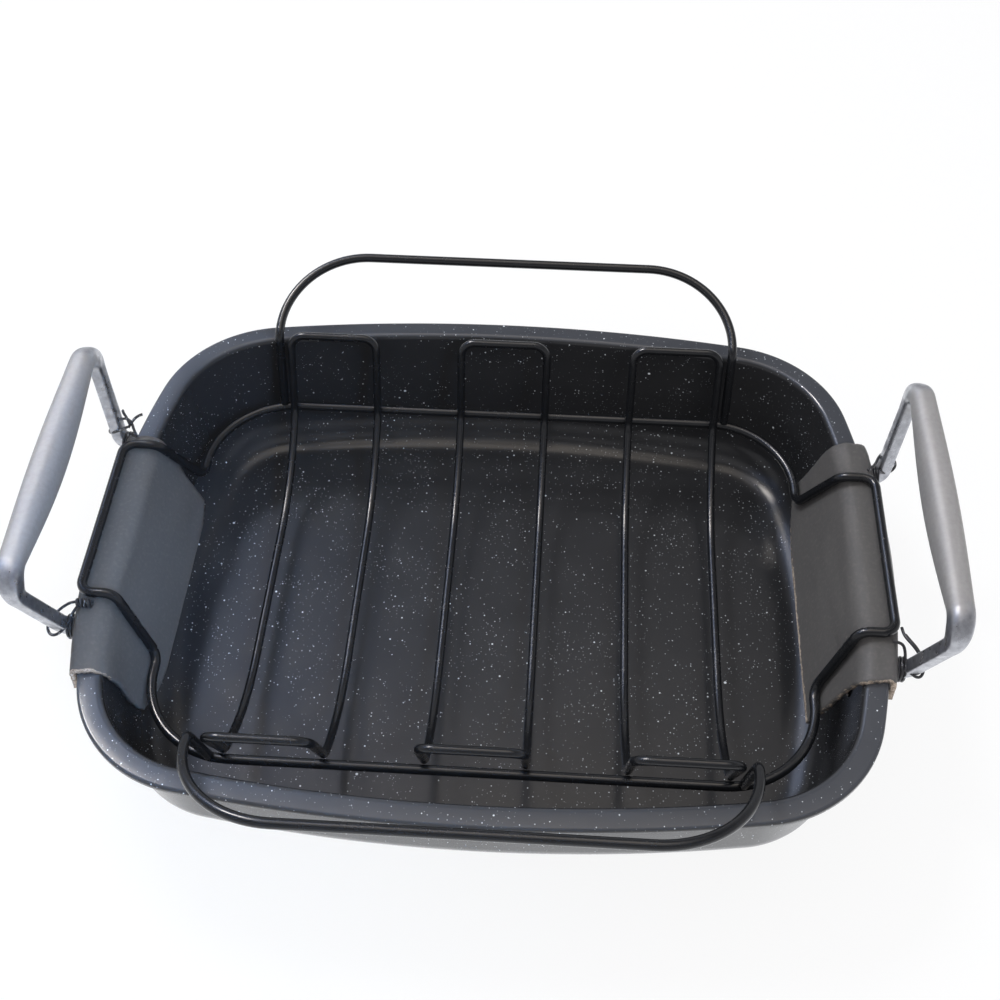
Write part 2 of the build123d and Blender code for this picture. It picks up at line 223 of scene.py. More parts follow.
# Cell, radius, share of cells that hold a speck, and the dimmest and brightest speck
SPECK_SIZES = (
    (1.3 * MM, 0.22 * MM, 0.42, 0.12, 0.5),
    (2.3 * MM, 0.33 * MM, 0.42, 0.5, 1.0),
    (5.1 * MM, 0.50 * MM, 0.50, 0.7, 1.0),
    (16.0 * MM, 0.78 * MM, 0.50, 0.8, 1.0),
)
RACK_COAT = ((0.005, 0.0055, 0.0065), (0.011, 0.0115, 0.013))
BLASTED_STEEL = ((0.325, 0.316, 0.31), (0.405, 0.395, 0.387))
# Polished steel whose colour spread holds painted reflection patches as well as wear
POLISHED_STEEL_AND_REFLECTIONS = ((0.29, 0.295, 0.32), (0.5, 0.51, 0.54))
BLAST_END = (64 * MM, 72 * MM)
BLAST_BOTTOM = (112 * MM, 106 * MM)
BLUED_RIVET = ((0.02, 0.021, 0.025), (0.035, 0.036, 0.04))
BRIGHT_RIVET = ((0.5, 0.5, 0.5), (0.62, 0.62, 0.62))
RIVET_BRIGHT_FROM = (189 * MM, 190 * MM)
# The lighter end of the card's face is a painted sheen in streaks along the fold
CARD_FACE_AND_SHEEN = ((0.061, 0.059, 0.058), (0.109, 0.104, 0.1))
CARD_DUST = (0.14, 0.13, 0.12)
CARD_FIBRE = ((0.05, 0.034, 0.024), (0.64, 0.53, 0.43))
TIE_COAT = ((0.012, 0.012, 0.014), (0.035, 0.035, 0.038))
TIE_BARE = (0.45, 0.47, 0.5)


def enamel_surface():
    """Glossy black enamel, sprinkled with pale specks of four sizes, and a painted sheen on the
    rim's top.
    """
    surface = Surface("enamel", IOR=1.42)
    crowd = surface.ramp(surface.noise(22, 3), 0.35, 0.65, -0.3, 0.25)

    def specks(cell_size, radius, share, dim, bright):
        """Pale dots of about one radius, each with a brightness of its own."""
        cell = surface.node(
            "ShaderNodeTexVoronoi", {"voronoi_dimensions": "3D", "feature": "F1"},
            Vector=surface.place, Scale=1 / cell_size,
        )
        chances = surface.node("ShaderNodeSeparateColor", Color=cell.outputs["Color"]).outputs
        lone = surface.math("LESS_THAN", surface.math("SUBTRACT", chances[0], crowd), share)
        least, most = 0.55 * radius / cell_size, 1.15 * radius / cell_size
        size = surface.ramp(chances[1], 0.0, 1.0, least, most)
        inside = surface.math("SUBTRACT", size, cell.outputs["Distance"])
        dot = surface.math("MULTIPLY", inside, 4 * cell_size / radius, True)
        light = surface.ramp(chances[2], 0.0, 1.0, dim, bright)
        return surface.math("MULTIPLY", surface.math("MULTIPLY", dot, lone), light)

    mask, *others = [specks(*sizes) for sizes in SPECK_SIZES]
    for layer in others:
        mask = surface.math("MAXIMUM", mask, layer)
    _, _, height = surface.axes(surface.place)
    # Painted sheen: the top of the rim gets a lighter tone in place of the reflection on it
    rim_sheen_mask = surface.ramp(height, *[PAN_HEIGHT - depth for depth in RIM_SHEEN_DEPTH])
    glaze = surface.mix(surface.noise(26, 3), *GLAZE)
    glaze = surface.mix(rim_sheen_mask, glaze, surface.mix(surface.noise(40, 3), *RIM_PAINTED_SHEEN))
    surface.into("Base Color", surface.mix(mask, glaze, SPECK_COLOUR))
    surface.patchy("Roughness", 45, 4, 0.15, 0.25)
    surface.bump(surface.noise(240, 3), 0.03 * MM)
    return surface.material


def wire_surface():
    """Glossy black coat of the rack's wires."""
    surface = Surface("rack_coat", IOR=1.5)
    surface.into("Base Color", surface.mix(surface.noise(90, 3), *RACK_COAT))
    surface.patchy("Roughness", 160, 3, 0.17, 0.3)
    surface.bump(surface.noise(420, 2), 0.04 * MM)
    return surface.material


def steel_surface():
    """Cast handle: a bead-blasted grip between worn, polished elbows and legs, whose colour holds
    painted patches of reflection.
    """
    surface = Surface("cast_steel")
    _, across, height = surface.axes(surface.place)
    patches = surface.even_noise(150, 3, 12 * MM)
    reach = surface.math("ADD", surface.math("ABSOLUTE", across), patches)
    past_grip = surface.ramp(reach, *BLAST_END)
    below_grip = surface.ramp(height, *BLAST_BOTTOM)
    polish = surface.math("MAXIMUM", past_grip, below_grip)
    blasted = surface.mix(surface.noise(420, 4), *BLASTED_STEEL)
    # Wear marks and painted reflection: dark and light patches in the polished steel's colour, as a
    # chrome finish shows them
    wear_and_reflection_patches = surface.ramp(surface.noise(330, 5, roughness=0.6), 0.28, 0.74)
    polished_with_reflections = surface.mix(wear_and_reflection_patches, *POLISHED_STEEL_AND_REFLECTIONS)
    surface.into("Base Color", surface.mix(polish, blasted, polished_with_reflections))
    surface.into("Metallic", surface.ramp(polish, 0.0, 1.0, 0.45, 0.9))
    grain = surface.ramp(surface.noise(600, 3), 0.3, 0.7, 0.55, 0.66)
    wear = surface.ramp(surface.noise(210, 4), 0.35, 0.65, 0.24, 0.5)
    rough = surface.node("ShaderNodeMix", {"data_type": "FLOAT"}, i0=polish, i2=grain, i3=wear)
    surface.into("Roughness", rough.outputs[0])
    pits = surface.math("MULTIPLY", surface.noise(1500, 3), surface.math("SUBTRACT", 1.0, polish))
    dents = surface.math("MULTIPLY", surface.noise(180, 2), 1.6)
    surface.bump(surface.math("ADD", pits, dents), 0.05 * MM)
    return surface.material


def rivet_surface():
    """Rivets: bright outside the pan, on the feet, and dark on their flat heads inside it."""
    surface = Surface("rivet_steel", Metallic=1.0)
    along, _, _ = surface.axes(surface.place)
    outside = surface.ramp(surface.math("ABSOLUTE", along), *RIVET_BRIGHT_FROM)
    dark = surface.mix(surface.noise(300, 3), *BLUED_RIVET)
    bright = surface.mix(surface.noise(300, 3), *BRIGHT_RIVET)
    surface.into("Base Color", surface.mix(outside, dark, bright))
    surface.patchy("Roughness", 500, 3, 0.25, 0.4)
    surface.bump(surface.noise(900, 2), 0.03 * MM)
    return surface.material


def card_surface():
    """Dark board, dusty on its face, with painted sheen streaks along the fold, and torn to brown
    fibre along its edges.
    """
    surface = Surface("card", Specular_IOR_Level=0.35)
    torn = surface.node("ShaderNodeAttribute", {"attribute_name": "torn"}).outputs["Fac"]
    fibre = surface.noise(900, 5, roughness=0.7)
    bare = surface.ramp(surface.math("ADD", torn, surface.even_noise(320, 4, 1.5)), 0.56, 0.7)
    # Painted sheen: light streaks along the fold, put into the board's colour
    sheen_streaks = surface.noise(55, 4, surface.stretched(3.0, 0.35, 3.0), 0.6)
    dust = surface.ramp(surface.noise(480, 5), 0.5, 0.78, 0.0, 0.45)
    face = surface.mix(dust, surface.mix(sheen_streaks, *CARD_FACE_AND_SHEEN), CARD_DUST)
    fibres = surface.mix(surface.ramp(fibre, 0.3, 0.7), *CARD_FIBRE)
    surface.into("Base Color", surface.mix(bare, face, fibres))
    surface.into("Roughness", surface.ramp(sheen_streaks, 0.3, 0.7, 0.5, 0.68))
    fluff = surface.math("MULTIPLY", fibre, bare)
    surface.bump(surface.math("ADD", surface.noise(700, 4), fluff), 0.12 * MM)
    return surface.material


def tie_surface():
    """Coated tie wire, scuffed to bare metal in places."""
    surface = Surface("tie")
    scuffed = surface.ramp(surface.noise(420, 4), 0.6, 0.68)
    coat = surface.mix(surface.noise(300, 2), *TIE_COAT)
    surface.into("Base Color", surface.mix(scuffed, coat, TIE_BARE))
    surface.into("Metallic", surface.math("MULTIPLY", scuffed, 0.8))
    surface.patchy("Roughness", 600, 2, 0.28, 0.45)
    surface.bump(surface.noise(800, 3), 0.06 * MM)
    return surface.material


enamel = enamel_surface()
rack_coat = wire_surface()
cast_steel = steel_surface()
rivet_steel = rivet_surface()
card = card_surface()
tie_coat = tie_surface()

# Pan shell: rings round the rim's plan, one for each point of the sheet's section

END_STEPS = 16
CORNER_STEPS = 28
SIDE_STEPS = 16
SECTION_BEND_STEPS = 10


def corner_centre():
    """Centre of the corner arc that touches both the end arc and the side arc."""
    end_reach = END_ARC - CORNER_ARC
    side_reach = SIDE_ARC - CORNER_ARC
    span = hypot(END_CENTRE_X, SIDE_CENTRE_Y)
    along = (end_reach**2 - side_reach**2 + span**2) / (2 * span)
    across = sqrt(end_reach**2 - along**2)
    step_x = -END_CENTRE_X / span
    step_y = SIDE_CENTRE_Y / span
    return END_CENTRE_X + step_x * along - step_y * across, step_y * along + step_x * across


CORNER_X, CORNER_Y = corner_centre()
END_ANGLE = atan2(CORNER_Y, CORNER_X - END_CENTRE_X)
SIDE_ANGLE = atan2(CORNER_Y - SIDE_CENTRE_Y, CORNER_X)


def quarter_stations():
    """Points and outward directions along the rim's plan from +X round to +Y."""
    arcs = (
        ((END_CENTRE_X, 0), END_ARC, 0, END_ANGLE, END_STEPS),
        ((CORNER_X, CORNER_Y), CORNER_ARC, END_ANGLE, SIDE_ANGLE, CORNER_STEPS),
        ((0, SIDE_CENTRE_Y), SIDE_ARC, SIDE_ANGLE, pi / 2, SIDE_STEPS),
    )
    stations = []
    for centre, radius, start, stop, steps in arcs:
        for step in range(steps):
            angle = start + (stop - start) * step / steps
            out = (cos(angle), sin(angle))
            stations.append(((centre[0] + radius * out[0], centre[1] + radius * out[1]), out))
    return stations + [((0, PAN_WIDTH / 2), (0.0, 1.0))]


def rim_stations():
    """Points and outward directions all the way round the rim's plan."""
    quarter = quarter_stations()
    back_left = [((-x, y), (-u, v)) for (x, y), (u, v) in quarter[-2::-1]]
    front_left = [((-x, -y), (-u, -v)) for (x, y), (u, v) in quarter[1:]]
    front_right = [((x, -y), (u, -v)) for (x, y), (u, v) in quarter[-2:0:-1]]
    return quarter + back_left + front_left + front_right


def rounded(points, radii, steps):
    """A path through points, each inner one rounded by its radius."""
    path = [Vector(points[0])]
    for before, corner, after, radius in zip(points, points[1:], points[2:], radii):
        corner = Vector(corner)
        back = (Vector(before) - corner).normalized()
        ahead = (Vector(after) - corner).normalized()
        half = back.angle(ahead) / 2
        if radius <= 0:
            path.append(corner)
            continue
        reach = radius / tan(half)
        centre = corner + (back + ahead).normalized() * (radius / sin(half))
        start = corner + back * reach - centre
        stop = corner + ahead * reach - centre
        turn = start.angle(stop)
        for step in range(steps + 1):
            angle = turn * step / steps
            path.append(centre + (start * sin(turn - angle) + stop * sin(angle)) / sin(turn))
    return path + [Vector(points[-1])]


def shell_section():
    """The shell's section as insets from the rim's edge and heights, from inside to outside."""
    run = tan(WALL_DRAFT)
    wall_foot = RIM_BAND + (PAN_HEIGHT - SHEET) * run
    floor_inset = wall_foot + COVE * tan(pi / 4 - WALL_DRAFT / 2) + FLOOR_MARGIN
    slant = SHEET / cos(WALL_DRAFT)
    hem_end = PAN_HEIGHT - HEM_DEPTH
    inside = rounded(
        [(floor_inset, SHEET), (wall_foot, SHEET), (RIM_BAND, PAN_HEIGHT), (0, PAN_HEIGHT),
         (0, hem_end)],
        [COVE, RIM_BEND, HEM_BEND],
        SECTION_BEND_STEPS,
    )
    under = RIM_BAND + SHEET * run - slant
    outside = rounded(
        [(SHEET, hem_end), (SHEET, PAN_HEIGHT - SHEET), (under, PAN_HEIGHT - SHEET),
         (RIM_BAND + PAN_HEIGHT * run - slant, 0), (floor_inset, 0)],
        [HEM_BEND - SHEET, RIM_BEND - SHEET, COVE + SHEET],
        SECTION_BEND_STEPS,
    )
    hem_edge = [
        Vector((SHEET / 2 - cos(turn) * SHEET / 2, hem_end - sin(turn) * SHEET / 4))
        for turn in (pi / 4, pi / 2, 3 * pi / 4)
    ]
    return inside + hem_edge + outside


def make_shell():
    """The pan shell with its flat floor closed inside and outside."""
    stations = rim_stations()
    edit = bmesh.new()
    loft(edit, [
        [(x - u * inset, y - v * inset, z) for (x, y), (u, v) in stations]
        for inset, z in shell_section()
    ])
    return mesh_object("pan_enamel", edit)


shell = dress(make_shell(), enamel, "pan")
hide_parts("pan_shell")

# Handles: one smooth run of sections, out of a foot, up a leg, along the grip and back down

FOOT_SPACING = 123 * MM
FOOT_WIDTH = 17 * MM
FOOT_HEIGHT = 31 * MM
FOOT_THICKNESS = 3 * MM
FOOT_CORNER = 4 * MM
FOOT_TOP_DROP = 3.9 * MM
FOOT_EDGE = 0.6 * MM
PLATE_GAP = 0.05 * MM
ARM_REACH = 25 * MM
ARM_BEND = 8 * MM
LEG_WIDTH = 7.6 * MM
LEG_THICKNESS = 7 * MM
KNUCKLE_OUT = 9.6 * MM
KNUCKLE_RISE = 51 * MM
KNUCKLE_SPACING = 159.2 * MM
ELBOW_BEND = 11.5 * MM
GRIP_END = (12.2 * MM, 11.4 * MM)
GRIP_MIDDLE = (15 * MM, 19.2 * MM)
LEG_SQUARENESS = 5.5
GRIP_SQUARENESS = 2.55
SECTION_POINTS = 48
BEND_STEPS = 16
ARM_STATIONS = 3
LEG_STATIONS = 9
GRIP_STATIONS = 56
GRIP_CROWDING = 1.1
SWELL_CROWDING = 1.05
GRIP_BLEND = 17 * MM
FOOT_CORNER_STEPS = 8
FOOT_EASE = 0.3


def foot_frame(height):
    """Middle, outward, across and up directions of the right handle's back foot at a height."""
    inset = RIM_BAND + (PAN_HEIGHT - height) * tan(WALL_DRAFT) - SHEET / cos(WALL_DRAFT)
    radius = END_ARC - inset
    turn = atan2(FOOT_SPACING / 2, radius)
    flat_out = Vector((cos(turn), sin(turn), 0))
    across = Vector((-sin(turn), cos(turn), 0))
    out = flat_out * cos(WALL_DRAFT) - Vector((0, 0, sin(WALL_DRAFT)))
    middle = Vector((END_CENTRE_X, 0, height)) + flat_out * radius
    return middle, out, across, out.cross(across)


def section_ring(middle, first, second, half_first, half_second, squareness):
    """A closed ring of points: an ellipse whose squareness grows above 2."""
    ring = []
    for step in range(SECTION_POINTS):
        angle = 2 * pi * step / SECTION_POINTS
        u, v = cos(angle), sin(angle)
        swell = (abs(u)**squareness + abs(v)**squareness) ** (-1 / squareness)
        ring.append(middle + first * (half_first * u * swell) + second * (half_second * v * swell))
    return ring


def smooth_step(share):
    """Goes from 0 to 1 with a soft start and stop."""
    share = min(max(share, 0.0), 1.0)
    return share * share * (3 - 2 * share)


def handle_stations():
    """Places from the right handle's back foot to mid grip, and which of them starts the grip."""
    arm_height = PAN_HEIGHT - FOOT_TOP_DROP - LEG_THICKNESS / 2
    seat, seat_out, _, _ = foot_frame(arm_height)
    root = seat + Vector((ARM_REACH - LEG_THICKNESS / 2, 0, 0))
    start = seat + seat_out * (FOOT_THICKNESS / 2)
    start = Vector((start.x, root.y, root.z))
    knuckle = Vector((root.x + KNUCKLE_OUT, KNUCKLE_SPACING / 2, PAN_HEIGHT + KNUCKLE_RISE))
    middle = Vector((knuckle.x, 0, knuckle.z))
    path = rounded([start, root, knuckle, middle], [ARM_BEND, ELBOW_BEND], BEND_STEPS)
    elbow_start = BEND_STEPS + 2
    grip_start = elbow_start + BEND_STEPS
    stations = []
    for first, second in zip(path[:2], path[1:]):
        stations += [first.lerp(second, share / ARM_STATIONS) for share in range(ARM_STATIONS)]
    stations += path[2:elbow_start]
    low, high = path[elbow_start - 1:elbow_start + 1]
    stations += [low.lerp(high, share / LEG_STATIONS) for share in range(1, LEG_STATIONS)]
    stations += path[elbow_start:grip_start]
    grip_place = len(stations)
    for share in range(GRIP_STATIONS + 1):
        crowded = (share / GRIP_STATIONS) ** GRIP_CROWDING
        stations.append(path[grip_start].lerp(middle, crowded))
    return stations, grip_place, root, knuckle


def half_handle_rings():
    """The right handle's rings from the back foot to the middle of the grip."""
    stations, grip_place, root, knuckle = handle_stations()
    lean = atan2(KNUCKLE_OUT, knuckle.z - root.z)
    lean_out = Vector((cos(lean), 0, -sin(lean)))
    lean_up = Vector((sin(lean), 0, cos(lean)))
    grip_start = stations[grip_place]
    grip_run = (grip_start - stations[-1]).length
    more_thickness = GRIP_MIDDLE[0] - GRIP_END[0]
    more_height = GRIP_MIDDLE[1] - GRIP_END[1]
    rings = []
    for place, here in enumerate(stations):
        before = stations[max(place - 1, 0)]
        after = stations[place + 1] if here is not stations[-1] else here - Vector((0, MM, 0))
        ahead = (after - before).normalized()
        swell = 0.0
        to_grip = smooth_step((here.z - knuckle.z + GRIP_BLEND) / GRIP_BLEND)
        if place >= grip_place:
            share = min((grip_start - here).length / grip_run, 1.0)
            swell = sin(pi / 2 * share**SWELL_CROWDING)
            to_grip = 1.0
        out = lean_out
        if here.z <= root.z + ARM_BEND:
            out = ahead.cross(Vector((0, -1, 0))).normalized()
        side = ahead.cross(out).normalized()
        thickness = between(LEG_THICKNESS, GRIP_END[0], to_grip) + more_thickness * swell
        height = between(LEG_WIDTH, GRIP_END[1], to_grip) + more_height * swell
        squareness = between(LEG_SQUARENESS, GRIP_SQUARENESS, to_grip)
        centre = here + (lean_out * more_thickness - lean_up * more_height) / 2 * swell
        rings.append(section_ring(centre, out, side, thickness / 2, height / 2, squareness))
    return rings


def foot_rings():
    """The back foot's plate as rings, from the wall to its eased outer face."""
    middle, out, across, up = foot_frame(PAN_HEIGHT - FOOT_TOP_DROP - FOOT_HEIGHT / 2)
    eased = FOOT_EDGE * FOOT_EASE
    rings = []
    for inset, level in (
        (0, 0), (0, FOOT_THICKNESS - FOOT_EDGE), (eased, FOOT_THICKNESS - eased),
        (FOOT_EDGE, FOOT_THICKNESS),
    ):
        half_width = FOOT_WIDTH / 2 - inset
        half_height = FOOT_HEIGHT / 2 - inset
        corner = FOOT_CORNER - inset
        ring = []
        for quarter, (x, y) in enumerate(((1, 1), (-1, 1), (-1, -1), (1, -1))):
            for step in range(FOOT_CORNER_STEPS + 1):
                angle = pi / 2 * (quarter + step / FOOT_CORNER_STEPS)
                u = x * (half_width - corner) + corner * cos(angle)
                v = y * (half_height - corner) + corner * sin(angle)
                ring.append(middle + out * (PLATE_GAP + level) + across * u + up * v)
        rings.append(ring)
    return rings


def to_front(rings):
    """Rings mirrored from the back half of a handle to its front half."""
    return [[Vector((point.x, -point.y, point.z)) for point in ring] for ring in rings]


def make_handle(name, side):
    """One handle with both feet, on the right or the left side."""
    half = half_handle_rings()
    plate = foot_rings()
    edit = bmesh.new()
    for rings in (half + to_front(half[-2::-1]), plate, to_front(plate)):
        loft(edit, rings)
    bmesh.ops.scale(edit, vec=(side, 1, 1), verts=edit.verts)
    return mesh_object(name, edit)


for name, side in (("right_handle", 1), ("left_handle", -1)):
    handle = dress(make_handle(f"{name}_casting", side), cast_steel, "pan")
    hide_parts(name)

# Rim pads: a grid of board laid over a path of rounded folds, inside a torn outline

PAD_THICKNESS = 2.8 * MM
PAD_TOP = 79.3 * MM
PAD_MIDDLE = 1.5 * MM
PAD_LIP_END = 67 * MM
PAD_RIM_GAP = 0.3 * MM
PAD_STRAIGHT_HALF = 53 * MM
FLAP_FOOT_X = 167 * MM
FLAP_FOOT_Z = 44 * MM
FLAP_RUN = 17 / 38.1
FLAP_COVER = 2.8 * MM
FOLD_BEND = 9 * MM
EDGE_BEND = 1.9 * MM
KNEE_Z = 47.5 * MM
FLAP_CURL = 0.6 * MM
FLAP_END_Z = 30 * MM
TOP_RUN = 28 * MM
FOLD_STEPS = 10
PAD_COLUMNS = 96
FLAP_ROWS = 30
TOP_ROWS = 30
END_CROWDING = 0.012
FOOT_CROWDING = 0.8
FRAYED_ROWS = 8
FRAY = 2.6 * MM
BACK_TEAR = 0.35
# Waves per millimetre of a torn edge, and the size of the small ones against the large ones
TEAR_WAVES = (0.55, 1.9)
SMALL_TEARS = 0.5
FRONT_TEARS = 0.8 * MM
BACK_TEARS = 0.3 * MM
FOOT_TEARS = 0.9 * MM
# The bulge beside an ear: its width, its place and reach on the top, and its reach down the flap
BULGE_HALF_WIDTH = 11 * MM
BULGE_RUN = 8 * MM
BULGE_HALF_RUN = 16 * MM
BULGE_FLAP_REACH = 14 * MM
BULGE_FLAP_SHARE = 0.5
# Small wrinkles on the top of one pad, between two places along the end and two runs from the fold
WRINKLE_Y = (56 * MM, 73 * MM)
WRINKLE_RUN = (6 * MM, 17 * MM)
WRINKLE_HEIGHT = 0.35 * MM
WRINKLE_PITCH = 2.9 * MM
WAVE_HEIGHT = 0.25 * MM
WAVE_TOP_SHARE = 0.3
WAVES_ALONG = 0.06
WAVES_ACROSS = 0.09


def rim_sag(y):
    """How far the end of the rim falls back from its middle at a place across the pan."""
    return END_ARC - sqrt(END_ARC**2 - y**2)


def flap_x(height, depth):
    """Place of the flap at a height, measured under the riser wires by a depth."""
    slant = sqrt(1 + FLAP_RUN**2)
    return FLAP_FOOT_X + (height - FLAP_FOOT_Z) * FLAP_RUN + (FLAP_COVER + depth) * slant


def broken(points, value):
    """A value between the points of a table, on straight lines."""
    for (start, first), (stop, second) in zip(points, points[1:]):
        if value <= stop:
            share = max(0.0, (value - start) / (stop - start))
            return between(first, second, share)
    return points[-1][1]


def ragged(place, size, seed):
    """A small random offset along a torn edge."""
    large, small = [place / MM * waves for waves in TEAR_WAVES]
    return size * (noise.noise(Vector((large, seed, 0)))
                   + SMALL_TEARS * noise.noise(Vector((small, seed, 3))))


# Tables in millimetres: the torn ends by the run from the fold, which is negative down the flap,
# the flap's depth by the place along the end, and how far the fibre shows at two of the edges.
# The bulge has its place along the end and its height.
RIGHT_PAD = {
    "front": ((-52, -72), (-40, -71.5), (-14, -71.5), (-5, -73), (3, -75), (14, -74), (19, -75.5),
              (28, -77.5)),
    "back": ((-42, 76), (-13, 75.5), (0, 74), (6, 74), (20, 74), (28, 73)),
    "depth": ((-78, 50), (-72, 50.5), (-50, 51.5), (-23, 50.5), (0, 48.5), (26, 47), (52, 44.5),
              (65, 42), (76, 41)),
    "front_tear": ((-52, 0.55), (-20, 0.55), (-8, 0.6), (5, 0.7), (19, 0.8), (28, 0.9)),
    "foot_tear": ((-78, 0.4), (-68, 1.2), (-62, 2.2), (-55, 1.3), (-40, 1.1), (0, 1.2), (16, 1.5),
                  (26, 1.0), (76, 0.3)),
    "bulge": (68, 2.6),
    "wrinkled": True,
    "seed": 2.3,
}
LEFT_PAD = {
    "front": ((-52, -88), (-32, -90), (-19, -88.5), (0, -91.5), (8, -92), (19, -93), (28, -94.5)),
    "back": ((-42, 50), (-23, 52), (-10, 56), (2, 57), (12, 56.5), (28, 56.5)),
    "depth": ((-95, 34), (-88, 40), (-70, 46), (-20, 50), (20, 50), (45, 44), (57, 40)),
    "front_tear": ((-52, 0.3), (-20, 0.3), (-8, 0.6), (5, 1.1), (28, 1.2)),
    "foot_tear": ((-95, 0.3), (20, 0.4), (57, 0.5)),
    "bulge": (56, 1.0),
    "wrinkled": False,
    "seed": 7.9,
}


def pad_path(y):
    """The board's middle line, from the flap's end up over the fold and the rim to its lip."""
    edge = PAN_LENGTH / 2 - rim_sag(y) + PAD_RIM_GAP + PAD_MIDDLE
    fold_back = max(0.0, rim_sag(y) - rim_sag(PAD_STRAIGHT_HALF))
    top = PAD_TOP - PAD_MIDDLE
    corners = [
        (flap_x(FLAP_END_Z, PAD_MIDDLE + FLAP_CURL), FLAP_END_Z),
        (flap_x(KNEE_Z, PAD_MIDDLE), KNEE_Z),
        (flap_x(top, PAD_MIDDLE) - fold_back, top),
        (edge, top),
        (edge, PAD_LIP_END),
    ]
    return rounded(corners, [0, FOLD_BEND, EDGE_BEND], FOLD_STEPS)


def along(path, distance):
    """The point and the direction of a path at a distance from its start."""
    for first, second in zip(path, path[1:]):
        span = (second - first).length
        if distance <= span or second is path[-1]:
            step = (second - first).normalized()
            return first + step * distance, step
        distance -= span


def pad_lift(outline, y, run, depth, on_flap):
    """How far the board stands off its path: a bulge near one end, wrinkles and slow waves."""
    bulge_y, bulge_height = outline["bulge"]
    near_end = exp(-(((y - bulge_y * MM) / BULGE_HALF_WIDTH) ** 2))
    if on_flap:
        reach = max(0.0, 1 - depth / BULGE_FLAP_REACH) * BULGE_FLAP_SHARE
    else:
        reach = max(0.0, 1 - abs(run - BULGE_RUN) / BULGE_HALF_RUN)
    lift = bulge_height * MM * near_end * reach
    share_y = (y - WRINKLE_Y[0]) / (WRINKLE_Y[1] - WRINKLE_Y[0])
    share_run = (run - WRINKLE_RUN[0]) / (WRINKLE_RUN[1] - WRINKLE_RUN[0])
    if outline["wrinkled"] and 0 < share_y < 1 and 0 < share_run < 1:
        window = sin(pi * share_run) * sin(pi * share_y)
        lift += WRINKLE_HEIGHT * window * sin(2 * pi * y / WRINKLE_PITCH)
    spot = Vector((y / MM * WAVES_ALONG, run / MM * WAVES_ACROSS, outline["seed"]))
    waves = WAVE_HEIGHT * noise.noise(spot)
    return lift + waves * (1.0 if on_flap else WAVE_TOP_SHARE)


def pad_spot(outline, column, row):
    """A grid point's place along the end, section point, outward direction and torn share."""
    share = column / PAD_COLUMNS
    share += END_CROWDING * sin(2 * pi * share)
    seed = outline["seed"]
    on_flap = row <= FLAP_ROWS
    reach = (1 - row / FLAP_ROWS) ** FOOT_CROWDING if on_flap else (row - FLAP_ROWS) / TOP_ROWS
    middle_y = between(outline["front"][0][1], outline["back"][0][1], share)
    flap_depth = broken(outline["depth"], middle_y) * MM + ragged(middle_y * MM, FOOT_TEARS, seed)
    depth = flap_depth * reach
    run = -depth if on_flap else TOP_RUN * reach
    front = broken(outline["front"], run / MM) * MM + ragged(run, FRONT_TEARS, seed + 1)
    back = broken(outline["back"], run / MM) * MM + ragged(run, BACK_TEARS, seed + 2)
    y = between(front, back, share)
    path = pad_path(y)
    total = sum((second - first).length for first, second in zip(path, path[1:]))
    edge = PAN_LENGTH / 2 - rim_sag(y) + PAD_RIM_GAP + PAD_THICKNESS
    lip_run = edge - flap_x(PAD_TOP, 0) + PAD_TOP - PAD_LIP_END
    fold_at = total - lip_run
    distance = fold_at - depth if on_flap else fold_at + reach * lip_run
    distance = min(max(distance, 0.0), total)
    point, step = along(path, distance)
    out = Vector((-step[1], step[0]))
    point = point + out * pad_lift(outline, y, run, depth, on_flap)
    torn = 0.0
    if column == 0:
        torn = broken(outline["front_tear"], run / MM)
    elif row < FRAYED_ROWS:
        from_foot = distance - max(fold_at - flap_depth, 0.0)
        torn = broken(outline["foot_tear"], y / MM) * max(0.0, 1 - from_foot / FRAY)
    elif row == FLAP_ROWS + TOP_ROWS or column == PAD_COLUMNS:
        torn = BACK_TEAR
    return y, point, out, torn


def make_pad(name, side, outline):
    """One pad: a flat grid, given its thickness and then laid over the rim."""
    rows = FLAP_ROWS + TOP_ROWS
    edit = bmesh.new()
    torn_layer = edit.verts.layers.float.new("torn")
    bmesh.ops.create_grid(edit, x_segments=PAD_COLUMNS, y_segments=rows, size=1)
    upper = set(edit.verts)
    bmesh.ops.extrude_face_region(edit, geom=edit.faces[:], use_keep_orig=True)
    for knot in edit.verts:
        y, point, out, torn = pad_spot(outline, *grid_spot(knot, PAD_COLUMNS, rows))
        place = point + out * (PAD_THICKNESS / 2 if knot in upper else -PAD_THICKNESS / 2)
        knot.co = (side * place[0], y, place[1])
        knot[torn_layer] = torn
    return mesh_object(name, edit)


for name, side, outline in (("right_pad_board", 1, RIGHT_PAD), ("left_pad_board", -1, LEFT_PAD)):
    board = dress(make_pad(name, side, outline), card, "pan")
    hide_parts(name.replace("pad_board", "rim_pad"))

# Tie wires: bent by hand, so each strand is its own smooth curve

TIE_RADIUS = 0.75 * MM
TIE_ROUNDNESS = 4
TIE_SMOOTHNESS = 8
TIE_ORDER = 3
